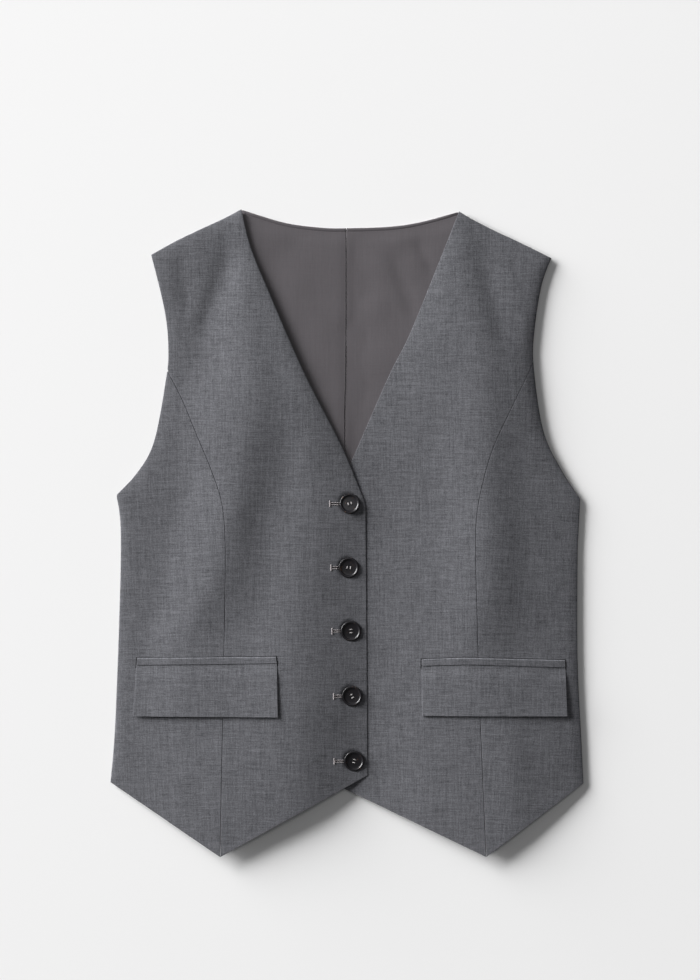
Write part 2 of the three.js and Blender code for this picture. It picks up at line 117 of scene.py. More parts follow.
table_paint, tree, shader = material("table_paint", Base_Color=(0.807, 0.805, 0.805, 1), Roughness=0.85)
shader.inputs["Specular IOR Level"].default_value = 0.15
grain = node(tree, "ShaderNodeTexNoise", {"Scale": 900.0, "Detail": 2.0,
             "Vector": node(tree, "ShaderNodeTexCoord").outputs["Object"]})
bump = node(tree, "ShaderNodeBump", {"Distance": 0.00002, "Strength": 0.3, "Height": grain.outputs[0]})
tree.links.new(bump.outputs["Normal"], shader.inputs["Normal"])

TABLE_HALF, TABLE_GAP = 3.0, 0.05 * MM
table_mesh = bpy.data.meshes.new("table")
table_mesh.from_pydata(
    [(x * TABLE_HALF, y * TABLE_HALF, -TABLE_GAP) for x, y in ((-1, -1), (1, -1), (1, 1), (-1, 1))],
    [], [(0, 1, 2, 3)])
table_mesh.materials.append(table_paint)
table = bpy.data.objects.new("table", table_mesh)
scene.collection.objects.link(table)

# ---- Suiting ---------------------------------------------------------------------------------------
# The fronts, welts and flaps are a plain-weave wool suiting, heathered from light and dark fibres.
# Yarns of uneven thickness show as short streaks along the warp and the weft, under a faint nap.


def group(name, inputs, outputs, kind="ShaderNodeTree"):
    """A new node group: (tree, the node that holds its inputs, the node that takes its outputs)."""
    made = bpy.data.node_groups.new(name, kind)
    for socket, (socket_type, default) in inputs.items():
        item = made.interface.new_socket(socket, in_out="INPUT", socket_type=socket_type)
        if default is not None:
            item.default_value = default
    for socket, socket_type in outputs.items():
        made.interface.new_socket(socket, in_out="OUTPUT", socket_type=socket_type)
    return made, made.nodes.new("NodeGroupInput"), made.nodes.new("NodeGroupOutput")


def math_node(tree, operation, *values):
    """The output of a Math node."""
    return node(tree, "ShaderNodeMath", dict(enumerate(values)), operation=operation).outputs[0]


FLOAT, VECTOR = "NodeSocketFloat", "NodeSocketVector"
yarns, given, result = group(
    "yarns",
    {"Vector": (VECTOR, None), "Yarn": (FLOAT, 0.0009), "Slub Length": (FLOAT, 0.009),
     "Warp": (FLOAT, 1.0), "Weft": (FLOAT, 1.0), "Fibre": (FLOAT, 1.0), "Pitch": (FLOAT, 0.0006)},
    {"Shade": FLOAT, "Height": FLOAT})
place = node(yarns, "ShaderNodeSeparateXYZ", {0: given.outputs["Vector"]})
along_x, along_y = place.outputs["X"], place.outputs["Y"]


def streaks(tree, x, y, wide, long, detail, seed):
    """Noise stretched along the second length, from about -0.5 to 0.5."""
    spot = node(tree, "ShaderNodeCombineXYZ", {
        "X": math_node(tree, "DIVIDE", x, wide), "Y": math_node(tree, "DIVIDE", y, long), "Z": seed})
    noise = node(tree, "ShaderNodeTexNoise", {"Vector": spot.outputs[0], "Scale": 1.0, "Detail": detail,
                 "Roughness": 0.65}, noise_dimensions="3D")
    return math_node(tree, "SUBTRACT", noise.outputs[0], 0.5)


yarn, slub = given.outputs["Yarn"], given.outputs["Slub Length"]
long_slub = math_node(yarns, "MULTIPLY", slub, 4.0)
warp = streaks(yarns, along_x, along_y, yarn, slub, 1.5, 3.1)
weft = streaks(yarns, along_y, along_x, yarn, slub, 1.5, 17.7)
warp_run = streaks(yarns, along_x, along_y, yarn, long_slub, 1.0, 41.3)
weft_run = streaks(yarns, along_y, along_x, yarn, long_slub, 1.0, 63.9)
fibre = streaks(yarns, along_x, along_y, yarn, yarn, 2.0, 80.2)
warp_sum = math_node(yarns, "MULTIPLY", math_node(yarns, "ADD", warp, warp_run), given.outputs["Warp"])
weft_sum = math_node(yarns, "MULTIPLY", math_node(yarns, "ADD", weft, weft_run), given.outputs["Weft"])
fibre_sum = math_node(yarns, "MULTIPLY", fibre, given.outputs["Fibre"])
shade = math_node(yarns, "ADD", math_node(yarns, "ADD", warp_sum, weft_sum), fibre_sum)
yarns.links.new(math_node(yarns, "ADD", shade, 0.5), result.inputs["Shade"])
turns = [math_node(yarns, "SINE", math_node(yarns, "MULTIPLY", math_node(
    yarns, "DIVIDE", coordinate, given.outputs["Pitch"]), math.pi)) for coordinate in (along_x, along_y)]
over_under = math_node(yarns, "MULTIPLY", *turns)
yarns.links.new(math_node(yarns, "ADD", math_node(yarns, "MULTIPLY", over_under, 0.5), shade),
                result.inputs["Height"])


def cloth(name, dark, light, weave, relief, roughness, sheen, sheen_tint, specular=0.3):
    """A woven cloth on the pieces' own grain: dark and light are the colours of its fibres."""
    made, tree, shader = material(name, Roughness=roughness, Sheen_Weight=sheen, Sheen_Roughness=0.45)
    shader.inputs["Sheen Tint"].default_value = (*sheen_tint, 1)
    shader.inputs["Specular IOR Level"].default_value = specular
    grain_uv = node(tree, "ShaderNodeUVMap", uv_map="grain")
    woven = node(tree, "ShaderNodeGroup", node_tree=yarns)
    tree.links.new(grain_uv.outputs["UV"], woven.inputs["Vector"])
    for socket, value in weave.items():
        woven.inputs[socket].default_value = value
    mixed = node(tree, "ShaderNodeMix", {"Factor": woven.outputs["Shade"]}, data_type="RGBA")
    ends = {"A_Color": dark, "B_Color": light}
    for socket in mixed.inputs:
        if socket.identifier in ends:
            socket.default_value = (*ends[socket.identifier], 1)
    mixed_colour = next(socket for socket in mixed.outputs if socket.identifier == "Result_Color")
    tree.links.new(mixed_colour, shader.inputs["Base Color"])
    bump = node(tree, "ShaderNodeBump", {"Distance": relief, "Strength": 1.0,
                "Height": woven.outputs["Height"]})
    tree.links.new(bump.outputs["Normal"], shader.inputs["Normal"])
    return made


suiting = cloth(
    "grey_wool_suiting", dark=(0.0375, 0.038, 0.0425), light=(0.1555, 0.1565, 0.171),
    weave={"Yarn": 0.0011, "Slub Length": 0.008, "Warp": 0.55, "Weft": 0.6, "Fibre": 1.1, "Pitch": 0.00062},
    relief=0.00003, roughness=0.92, sheen=0.12, sheen_tint=(0.75, 0.77, 0.85), specular=0.2)

# ---- Fronts -----------------------------------------------------------------------------------------
# Each front is a centre and a side panel joined by a princess seam from the armhole to the hem point,
# lined, pressed and sewn to the back at the shoulder and the side. The right front laps over the left.
CUT = {
    "right": {
        "shoulder": [(-182.5, 259), (-162, 270.5), (-139.5, 281.5), (-114.5, 293), (-98.5, 301.5)],
        "armhole": [(-182.5, 259), (-170, 207), (-166.5, 170), (-169, 142), (-179.5, 86.5), (-194, 58),
                    (-215, 35)],
        "side": [(-215, 35), (-211.5, 12), (-211, -25.5), (-213, -99.5), (-216.5, -185), (-220.5, -232.5)],
        "princess": [(-167.3, 150.5), (-154, 125), (-140.5, 92.5), (-125.5, 56.5), (-116, 26),
                     (-113, -11.5), (-113.5, -62.5), (-115, -150), (-118, -301.5)],
        "neck": [(-98.5, 301.5), (-89.5, 265.5), (-74, 227.5), (-40, 149.5), (-6, 83), (12, 40.5),
                 (17, 26.5)],
        "edge": [(17, 26.5), (17.5, -6.5), (19.3, -226)],
    },
    "left": {
        "shoulder": [(190.5, 256), (161, 270.5), (137.5, 281.5), (116, 292.5), (104.5, 299.5)],
        "armhole": [(190.5, 256), (181.5, 231), (175, 190), (174, 156), (183, 95.5), (200, 58.5),
                    (217.5, 31.5)],
        "side": [(217.5, 31.5), (216, 2.5), (215, -25.5), (215, -118.5), (218.5, -192.5), (220.5, -233.5)],
        "princess": [(173.9, 160.5), (168.5, 147.5), (151, 111.5), (134, 73.5), (122, 26),
                     (119.5, -15), (121.5, -93), (124, -174), (129.5, -301.5)],
        "neck": [(104.5, 299.5), (86.5, 254), (58, 184), (39, 146), (4, 66), (-10, 35), (-15, 12)],
        "edge": [(-15, 12), (-15, -100), (-15, -232.5)],
    },
}
CLOTH = 0.9  # how thick a pressed front is
SEAM = 0.3  # the groove between two panels that are sewn together
SEWN_TOP = 2.7  # height of a front where it is sewn to the back

# Height of the fronts above the table, in sections from the shoulders (first) to the points: at each y,
# the height at the edge, the x and height of four places across the front, and the height at the other
# edge. Both fronts stand up in soft crests over the bust and fall to the buttons and to the side seams.
SECTIONS = {
    # y, side edge, side panel, bust crest, bust hollow, front crest, lap edge
    "right": [
        (302, 5.2, (-120, 5.4), (-106, 5.6), (-103, 5.7), (-101, 5.7), 5.7),
        (254, 4.9, (-112, 5.0), (-97, 6.0), (-93, 6.2), (-90, 6.3), 6.3),
        (212, 4.5, (-128, 4.7), (-91, 7.8), (-84, 7.8), (-77, 7.6), 7.4),
        (162, 4.3, (-142, 4.6), (-86, 9.7), (-68, 9.1), (-58, 8.9), 8.5),
        (114, 4.1, (-160, 4.8), (-87, 11.2), (-54, 9.8), (-40, 9.7), 8.7),
        (58, 4.0, (-160, 4.9), (-98, 10.8), (-58, 8.5), (-34, 9.3), 6.9),
        (2, 4.0, (-168, 4.7), (-110, 10.5), (-73, 8.0), (-38, 9.1), 5.6),
        (-53, 4.0, (-178, 4.7), (-124, 9.5), (-79, 8.0), (-45, 9.6), 5.3),
        (-109, 4.0, (-190, 4.9), (-148, 8.3), (-105, 9.0), (-53, 10.7), 5.2),
        (-165, 4.0, (-190, 5.0), (-150, 7.9), (-105, 9.7), (-50, 12.0), 5.2),
        (-221, 4.0, (-190, 5.1), (-150, 7.8), (-105, 10.0), (-54, 11.6), 5.15),
        (-302, 4.0, (-190, 5.1), (-150, 7.6), (-105, 9.2), (-60, 9.4), 5.15),
    ],
    # y, neck edge, under the lap, middle, bust crest, side panel, side edge
    "left": [
        (302, 5.7, (106, 5.7), (108, 5.8), (112, 5.9), (120, 5.7), 5.2),
        (254, 5.4, (90, 5.8), (98, 6.4), (106, 6.7), (124, 6.1), 5.0),
        (198, 5.0, (68, 5.5), (92, 7.6), (118, 8.5), (143, 7.2), 5.0),
        (142, 5.0, (44, 5.4), (84, 7.6), (124, 9.5), (152, 7.7), 5.1),
        (86, 5.1, (24, 5.4), (80, 7.2), (128, 9.9), (158, 7.4), 4.7),
        (2, 4.7, (20, 4.8), (80, 6.9), (130, 10.8), (168, 7.0), 4.0),
        (-53, 4.6, (20, 4.7), (80, 7.3), (131, 10.9), (168, 7.2), 4.0),
        (-109, 4.6, (20, 4.7), (80, 7.6), (118, 9.2), (165, 7.2), 4.0),
        (-221, 4.6, (20, 4.7), (80, 7.7), (150, 9.1), (180, 7.2), 4.0),
        (-302, 4.6, (20, 4.7), (80, 7.6), (145, 8.8), (180, 7.2), 4.0),
    ],
}
# Edge: over what width a front rolls down towards it, and what share of its bulge is left there.
ROLLS = {
    "right": {"side": (11, 0.3), "armhole": (15, 0.5), "shoulder": (22, 0.42), "neck": (9, 0.85)},
    "left": {"side": (11, 0.2), "armhole": (11, 0.25), "shoulder": (22, 0.42)},
}
# Soft ridges and troughs (height below 0): the line they follow, their height, and their half width on
# the wearer's right and left of it.
FOLDS = {
    "right shoulder hollow": ([(-109, 284), (-117, 242), (-127, 212), (-141, 165)], -0.8, 9, 15),
    "right armhole hollow": ([(-153, 268), (-152, 236), (-146, 196)], -0.6, 8, 9),
    "left shoulder hollow": ([(126, 282), (134.5, 226), (153.5, 160)], -0.8, 9, 12),
}


def curve(points, steps=10):
    """A smooth curve through the points, as an array of points."""
    points = np.array(points, float)
    padded = np.vstack([points[:1], points, points[-1:]])
    t = np.linspace(0, 1, steps, endpoint=False)[:, None]
    stretches = []
    for a, b, c, d in zip(padded, padded[1:], padded[2:], padded[3:]):
        v0, v1 = (c - a) / 2, (d - b) / 2
        stretches.append(
            (2 * b - 2 * c + v0 + v1) * t**3 + (3 * c - 3 * b - 2 * v0 - v1) * t**2 + v0 * t + b)
    return np.vstack([*stretches, points[-1:]])


def lengths_along(path):
    return np.concatenate([[0], np.cumsum(np.linalg.norm(np.diff(path, axis=0), axis=1))])


def point_at(path, share):
    """The points at these shares of a path's length."""
    lengths = lengths_along(path)
    wanted = np.clip(share, 0, 1) * lengths[-1]
    return np.stack([np.interp(wanted, lengths, path[:, k]) for k in (0, 1)], axis=-1)


def nearest(path, x, y):
    """How far each point is from a path, at what share of its length, and whether on its right."""
    lengths = lengths_along(path)
    best = np.full(x.shape, np.inf)
    share, right = np.zeros(x.shape), np.zeros(x.shape, bool)
    for i, (a, b) in enumerate(zip(path, path[1:])):
        dx, dy = b - a
        s = np.clip(((x - a[0]) * dx + (y - a[1]) * dy) / max(dx * dx + dy * dy, 1e-12), 0, 1)
        off_x, off_y = x - a[0] - s * dx, y - a[1] - s * dy
        far = np.hypot(off_x, off_y)
        closer = far < best
        best = np.where(closer, far, best)
        share = np.where(closer, (lengths[i] + s * (lengths[i + 1] - lengths[i])) / lengths[-1], share)
        right = np.where(closer, (x - a[0]) * dy - (y - a[1]) * dx > 0, right)
    return best, share, right


def smoothstep(x, low, high):
    t = np.clip((x - low) / (high - low), 0, 1)
    return t * t * (3 - 2 * t)


# The middles of the five buttons, top first. Each is drawn into the cloth by its thread: how deep, and
# the radii where that well's floor ends and where its wall meets the front again.
BUTTONS = [(2.5, 27), (1.5, -32.5), (3.5, -91.5), (4.5, -152), (6.5, -212.5)]
WELL, WELL_FLOOR, WELL_RIM = 1.6, 7, 11
# The cloth is never quite smooth: height, width and seed of its broad and its small waves.
WAVES = [(0.10, 17, 5), (0.2, 46, 9)]

EDGES = {side: {name: curve(points) for name, points in cut.items()} for side, cut in CUT.items()}
FOLD_LINES = [(curve(line), height, before, after) for line, height, before, after in FOLDS.values()]


def fold_height(lines, x, y):
    """What a list of ridges and troughs adds at each point."""
    total = np.zeros(x.shape)
    for path, height, before, after in lines:
        far, share, right = nearest(path, x, y)
        fade = smoothstep(share, 0, 0.3) * (1 - smoothstep(share, 0.7, 1))
        total += height * fade * np.exp(-((far / np.where(right, before, after)) ** 2))
    return total


def unevenness(x, y, wavelength, seed):
    """Smooth random relief from -1 to 1, the same on every run."""
    lattice = np.random.default_rng(seed).uniform(-1, 1, (64, 64))
    gx, gy = x / wavelength + 32, y / wavelength + 32
    ix, iy = np.floor(gx).astype(int), np.floor(gy).astype(int)
    tx, ty = smoothstep(gx - ix, 0, 1), smoothstep(gy - iy, 0, 1)
    at = lambda i, j: lattice[i % 64, j % 64]
    return ((at(ix, iy) * (1 - tx) + at(ix + 1, iy) * tx) * (1 - ty)
            + (at(ix, iy + 1) * (1 - tx) + at(ix + 1, iy + 1) * tx) * ty)


def across_stations(xs, zs, x):
    """A smooth profile through stations (first axis) at each point, level at its crests and hollows."""
    slopes = np.diff(zs, axis=0) / np.maximum(np.diff(xs, axis=0), 0.5)
    product = slopes[:-1] * slopes[1:]
    inner = np.where(product > 0, 2 * product / np.where(product > 0, slopes[:-1] + slopes[1:], 1), 0)
    tangents = np.concatenate([slopes[:1], inner, slopes[-1:]])
    height = zs[0] + 0 * x
    for k in range(len(xs) - 1):
        span = np.maximum(xs[k + 1] - xs[k], 0.5)
        t = np.clip((x - xs[k]) / span, 0, 1)
        spot = ((2 * t**3 - 3 * t**2 + 1) * zs[k] + (t**3 - 2 * t**2 + t) * span * tangents[k]
                + (3 * t**2 - 2 * t**3) * zs[k + 1] + (t**3 - t**2) * span * tangents[k + 1])
        height = np.where(x >= xs[k], spot, height)
    return height


def section_height(side, x, y):
    """Height of the outer face from its sections, before its rolled edges and folds."""
    table = [(row[0], row[1], *[v for pair in row[2:-1] for v in pair], row[-1]) for row in SECTIONS[side]]
    columns = np.array(table[::-1], float).T
    level, slopes = columns[0], [np.gradient(column, columns[0]) for column in columns[1:]]
    k = np.clip(np.searchsorted(level, y) - 1, 0, len(level) - 2)
    span = level[k + 1] - level[k]
    t = np.clip((y - level[k]) / span, 0, 1)
    at = [(2 * t**3 - 3 * t**2 + 1) * c[k] + (t**3 - 2 * t**2 + t) * span * m[k]
          + (3 * t**2 - 2 * t**3) * c[k + 1] + (t**3 - t**2) * span * m[k + 1]
          for c, m in zip(columns[1:], slopes)]
    edges = EDGES[side]
    outer = np.vstack([edges["armhole"], edges["side"]])[::-1]
    inner = np.vstack([edges["neck"], edges["edge"]])[::-1]
    ends = [np.interp(y, path[:, 1], path[:, 0]) for path in (outer, inner)]
    if side == "left":
        ends.reverse()
    xs = [ends[0], *at[1:-1:2], ends[1]]
    for i in range(1, 5):
        xs[i] = np.clip(xs[i], xs[i - 1] + 1, ends[1] - 5 + i)
    return across_stations(np.stack(xs), np.stack([at[0], *at[2:-1:2], at[-1]]), x)


def front_height(side, x, y):
    """Height of a front's outer face."""
    lift = 1.0
    for edge, (width, share) in ROLLS[side].items():
        s = np.minimum(1, nearest(EDGES[side][edge], x, y)[0] / width)
        lift = lift * (share + (1 - share) * np.sqrt(1 - (1 - s) ** 2))
    relief = sum(height * unevenness(x, y, width, seed) for height, width, seed in WAVES)
    for button_x, button_y in BUTTONS if side == "right" else ():
        away = np.hypot(x - button_x, y - button_y)
        relief = relief - WELL * (1 - smoothstep(away, WELL_FLOOR, WELL_RIM))
    bulge = section_height(side, x, y) + fold_height(FOLD_LINES, x, y) + relief - SEWN_TOP
    return SEWN_TOP + bulge * lift


def on_front(side, x, y, out=0.0):
    """Points moved out from a front's outer face along its normal."""
    step = 0.4
    height = front_height(side, x, y)
    slope_x = (front_height(side, x + step, y) - front_height(side, x - step, y)) / (2 * step)
    slope_y = (front_height(side, x, y + step) - front_height(side, x, y - step)) / (2 * step)
    size = np.sqrt(slope_x**2 + slope_y**2 + 1)
    normal = np.stack([-slope_x / size, -slope_y / size, 1 / size], axis=-1)
    return np.stack([x, y, height], axis=-1) + normal * np.asarray(out)[..., None]


def along(path):
    path = np.array(path, float)
    return lambda t: point_at(path, t)


def joined(first, second, at):
    """An edge of two paths that meet at a share of it."""
    return lambda t: np.where(
        (t < at)[..., None], point_at(first, t / at), point_at(second, (t - at) / (1 - at)))


# How far the first lines of a grid lie from an edge, so that the edge can be round.
EDGE_LINES = np.array([0, 0.08, 0.22, 0.45, 0.9, 1.6, 2.6])


def spaced(count, length):
    """Positions from 0 to each length, close together at both ends: one row for each length."""
    scale = np.minimum(1, length / (3 * EDGE_LINES[-1]))[..., None]
    near = EDGE_LINES * scale
    inner = np.linspace(0, 1, count - 2 * len(EDGE_LINES) + 2)[1:-1]
    low, high = near[..., -1:], length[..., None] - near[..., -1:]
    return np.concatenate([near, low + (high - low) * inner, length[..., None] - near[..., ::-1]], axis=-1)


def between(outer, inner, top, bottom, u, v):
    """The points at shares u across and v down the area between four edges that meet at the corners."""
    ends = [edge(np.array([t]))[0] for edge in (outer, inner) for t in (0.0, 1.0)]
    top_outer, bottom_outer, top_inner, bottom_inner = ends
    u3, v3 = u[..., None], v[..., None]
    return ((1 - v3) * top(u) + v3 * bottom(u) + (1 - u3) * outer(v) + u3 * inner(v)
            - (1 - v3) * ((1 - u3) * top_outer + u3 * top_inner)
            - v3 * ((1 - u3) * bottom_outer + u3 * bottom_inner))


def patch(outer, inner, top, bottom, columns, rows):
    """A grid over the area between four edges that meet at the corners, fine along all four."""
    v_rough = np.linspace(0, 1, rows)
    widths = np.linalg.norm(inner(v_rough) - outer(v_rough), axis=-1)
    u = spaced(columns, np.maximum(widths, 4)) / np.maximum(widths, 4)[:, None]
    u_rough = np.linspace(0, 1, columns)
    heights = np.linalg.norm(bottom(u_rough) - top(u_rough), axis=-1)
    v = (spaced(rows, heights) / heights[:, None]).T
    return between(outer, inner, top, bottom, u, v)


def inset(flat):
    """How far each point of a flat grid is from the grid's own edges."""
    x, y = flat[..., 0], flat[..., 1]
    rims = [flat[0], flat[-1], flat[:, 0], flat[:, -1]]
    return np.min([nearest(rim, x, y)[0] for rim in rims], axis=0)


def rounding(inside, thickness):
    """How far the faces of a pressed cloth draw together near its edge, half its thickness at the edge."""
    radius = thickness / 2
    reach = np.clip(1 - inside / radius, 0, 1)
    return radius * (1 - (1 - reach**4) ** 0.25)


def shell(name, flat, top, bottom, finish, turn=0.0, slide=(0.0, 0.0)):
    """A closed wall of cloth between two grids that meet along their edges, with its grain as UV."""
    rows, columns = flat.shape[:2]
    upper = np.arange(rows * columns).reshape(rows, columns)
    lower = upper.copy()
    inside = (rows - 2, columns - 2)
    lower[1:-1, 1:-1] = rows * columns + np.arange(inside[0] * inside[1]).reshape(inside)
    points = np.vstack([top.reshape(-1, 3), bottom[1:-1, 1:-1].reshape(-1, 3)]) * MM
    quads = [np.stack([g[:-1, :-1], g[1:, :-1], g[1:, 1:], g[:-1, 1:]], axis=-1).reshape(-1, 4)
             for g in (upper, lower)]
    if flat[-1, -1, 0] < flat[-1, 0, 0]:
        quads.reverse()
    faces = np.vstack([quads[0], quads[1][:, ::-1]])
    mesh = bpy.data.meshes.new(name)
    mesh.from_pydata(points.tolist(), [], faces.tolist())
    c, s = math.cos(math.radians(turn)), math.sin(math.radians(turn))
    grain = mesh.uv_layers.new(name="grain")
    corners = np.empty(len(mesh.loops), int)
    mesh.loops.foreach_get("vertex_index", corners)
    spots = np.vstack([flat.reshape(-1, 2), flat[1:-1, 1:-1].reshape(-1, 2)])[corners] * MM
    u, v = spots.T
    uv = np.stack([u * c - v * s + slide[0], u * s + v * c + slide[1]], axis=1)
    grain.data.foreach_set("uv", uv.ravel())
    mesh.polygons.foreach_set("use_smooth", np.ones(len(mesh.polygons), bool))
    mesh.materials.append(finish)
    piece = bpy.data.objects.new(name, mesh)
    scene.collection.objects.link(piece)
    return piece


def sew_on(piece, cad_node):
    """Makes a piece of cloth move with the root and hides the node it stands for."""
    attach(piece, "root")
    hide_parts(cad_node)


def moved(path, distance):
    """A path moved to its own left."""
    steps = np.gradient(path, axis=0)
    steps /= np.linalg.norm(steps, axis=1)[:, None]
    return path + np.stack([-steps[:, 1], steps[:, 0]], axis=1) * distance


PANEL_TOP = 16  # how much of the armhole is the top edge of a side panel
GRIDS = {"centre": (96, 236), "side": (62, 190)}
# Where a grid turns its corner between armhole and seam, neck and edge, and armhole and side edge.
OUTER_TURN, INNER_TURN, SIDE_TURN = 0.19, 0.54, 0.31
# How far each panel's warp is turned from straight up, and where on the bolt it was cut from.
GRAIN = {
    "right centre": (0.3, 0), "right side": (-2.2, 0.31),
    "left centre": (-0.4, 0.57), "left side": (2.4, 0.83),
}

fronts = {}
for side in ("right", "left"):
    edges = EDGES[side]
    to_middle = 1 if side == "right" else -1  # a path's own left is towards the middle on the right
    seam = point_at(edges["princess"], np.linspace(0, 1, 120))
    meeting = float(nearest(edges["armhole"], *seam[:1].T)[1][0])
    corner = meeting + PANEL_TOP / lengths_along(edges["armhole"])[-1]
    centre_seam = moved(seam, to_middle * SEAM / 2)
    side_seam = moved(seam, -to_middle * SEAM / 2)
    upper = point_at(edges["armhole"], np.linspace(0, meeting, 40))
    lower = point_at(edges["armhole"], np.linspace(corner, 1, 40))
    crossing = point_at(edges["armhole"], np.linspace(corner, meeting, 12))
    panels = {
        "centre": patch(
            joined(np.vstack([upper[:-1], centre_seam[:1]]), centre_seam, OUTER_TURN),
            joined(edges["neck"], edges["edge"], INNER_TURN),
            along(edges["shoulder"]),
            along([centre_seam[-1], edges["edge"][-1]]), *GRIDS["centre"]),
        "side": patch(
            joined(lower, edges["side"], SIDE_TURN),
            along(side_seam),
            along(np.vstack([crossing[:-1], side_seam[:1]])),
            along([edges["side"][-1], side_seam[-1]]), *GRIDS["side"]),
    }
    for panel, flat in panels.items():
        x, y = flat[..., 0], flat[..., 1]
        drawn = rounding(inset(flat), CLOTH)
        turn, slide = GRAIN[f"{side} {panel}"]
        name = f"front_{side}_{panel}"
        fronts[name] = shell(
            f"{name}_cloth", flat, on_front(side, x, y, -drawn), on_front(side, x, y, drawn - CLOTH),
            suiting, turn=turn, slide=(slide, slide / 2))
        sew_on(fronts[name], name)

# ---- Back -------------------------------------------------------------------------------------------
# The back is two halves of lining cloth with a centre seam, flat on the table, and its neck edge is
# turned over in a narrow band. The lining inside has its own centre seam, with a small ease pleat.
lining_cloth = cloth(
    "taupe_lining_satin", dark=(0.0625, 0.0565, 0.0618), light=(0.1125, 0.1025, 0.1105),
    weave={"Yarn": 0.0011, "Slub Length": 0.012, "Warp": 0.3, "Weft": 0.15, "Fibre": 0.35, "Pitch": 0.0003},
    relief=0.000006, roughness=0.5, sheen=0.05, sheen_tint=(0.9, 0.85, 0.85), specular=0.35)

NECKLINE = curve([(-98.5, 301.5), (-82, 296), (-55.5, 288.5), (-24, 284.5), (1, 284), (41, 285.5),
                  (70, 290), (104.5, 299.5)])
CENTRE_BACK = [(-0.8, 284), (-0.8, 216.5), (-1.1, 142), (-2, 86.5), (0.5, -227)]
SHELL, LINING = 1.1, 0.7  # how thick the two layers are
BACK_SEAM = 0.5  # the groove of the centre seam
NECK_BAND, BAND_TOP = 3.2, 2.55  # width of the neck edge's turned band and height of its top
BACK_IN, LINING_IN, LINING_HEM = 0.8, 7, 12  # how far the layers stop short of the fronts' edges
LINING_LEVEL = 1.45  # where the lining's lower face lies at the neck, before its ease
EASE_AT_BAND, EASE = 0.25, 0.45  # how far it lies higher, beside the neck band and away from it
LINING_WAVES = (0.24, 23, 3)  # height, width and seed of its own waves
# The fronts draw it up where they meet, by LINING_RISE in a soft mound beside the centre line.
LINING_RISE, RISE_FROM, RISE_TO, RISE_X, RISE_WIDTH = 2.45, 235, 90, -20, 62
# The centre seam is drawn down on the wearer's right of it and stands in a narrow pleat on the left.
LINING_FOLDS = {
    "right": [
        ([(-0.6, 330), (-0.6, 216), (-0.9, 142), (-2, 20)], -0.27, 4.5, 4.5),
        ([(-58, 262), (-44, 200), (-30, 150)], 0.35, 16, 20),
    ],
    "left": [
        ([(1.8, 330), (1.8, 216), (1.6, 142), (0, 20)], 0.25, 60, 2.6),
        ([(6, 330), (6, 216), (5, 142), (3, 20)], -0.85, 60, 22),
        ([(38, 268), (52, 232), (66, 190)], -0.5, 7, 9),
        ([(60, 274), (70, 262), (82, 236)], -0.35, 5, 6),
    ],
}


def back_half(side, hem_up, edge_in, neck_in):
    """The four edges of one half of the back, stopped short of the fronts' edges."""
    edges = EDGES[side]
    to_middle = 1 if side == "right" else -1
    middle = curve(CENTRE_BACK) + (-to_middle * BACK_SEAM / 2, 0)
    neck = NECKLINE if side == "right" else NECKLINE[::-1]
    neck = neck[(middle[0, 0] - neck[:, 0]) * to_middle > 1]
    neck = np.vstack([neck, middle[:1]])
    armhole, side_edge = edges["armhole"], edges["side"]
    share = lengths_along(armhole)[-1] / (lengths_along(armhole)[-1] + lengths_along(side_edge)[-1])
    outer = joined(armhole, side_edge, share)
    width, height = abs(side_edge[-1, 0]), middle[0, 1] - middle[-1, 1]
    whole = (outer, along(middle), joined(edges["shoulder"], neck, 0.5),
             along([side_edge[-1], middle[-1]]))

    def line(start, end):
        """A straight line between two places, each a share across and a share down the whole half."""
        (u0, v0), (u1, v1) = start, end
        return lambda t: between(*whole, u0 + (u1 - u0) * t, v0 + (v1 - v0) * t)

    u_low, v_low, v_high = edge_in / width, neck_in / height, 1 - hem_up / height
    return (line((u_low, v_low), (u_low, v_high)), line((1, v_low), (1, v_high)),
            line((u_low, v_low), (1, v_low)), line((u_low, v_high), (1, v_high)))


for side in ("right", "left"):
    flat = patch(*back_half(side, BACK_IN, BACK_IN, 0), 70, 170)
    x, y = flat[..., 0], flat[..., 1]
    from_neck, share, _ = nearest(NECKLINE, x, y)
    ends = smoothstep(np.minimum(share, 1 - share), 0, 0.05)
    thick = SHELL + (BAND_TOP - SHELL) * ends * (1 - smoothstep(from_neck, NECK_BAND - 0.4, NECK_BAND))
    drawn = rounding(inset(flat), thick)
    piece = shell(f"back_{side}_shell", flat, np.dstack([flat, thick - drawn]), np.dstack([flat, drawn]),
                  lining_cloth, slide=(0.4, 0.2))
    sew_on(piece, f"back_{side}")

    flat = patch(*back_half(side, LINING_HEM, LINING_IN, NECK_BAND + 0.25), 90, 190)
    x, y = flat[..., 0], flat[..., 1]
    folds = [(curve(line), height, before, after) for line, height, before, after in LINING_FOLDS[side]]
    wave, wave_width, seed = LINING_WAVES
    relief = fold_height(folds, x, y) + wave * unevenness(x, y, wave_width, seed)
    settled = smoothstep(nearest(NECKLINE, x, y)[0], 3, 16)
    mound = np.exp(-(((x - RISE_X) / RISE_WIDTH) ** 2))
    risen = LINING_RISE * smoothstep(y, RISE_FROM, RISE_TO) * mound
    level = LINING_LEVEL + np.maximum(0, EASE_AT_BAND + (EASE + relief) * settled) + risen
    drawn = rounding(inset(flat), LINING)
    piece = shell(f"lining_{side}_cloth", flat, np.dstack([flat, level + LINING - drawn]),
                  np.dstack([flat, level + drawn]), lining_cloth, turn=0.5)
    sew_on(piece, f"lining_{side}")

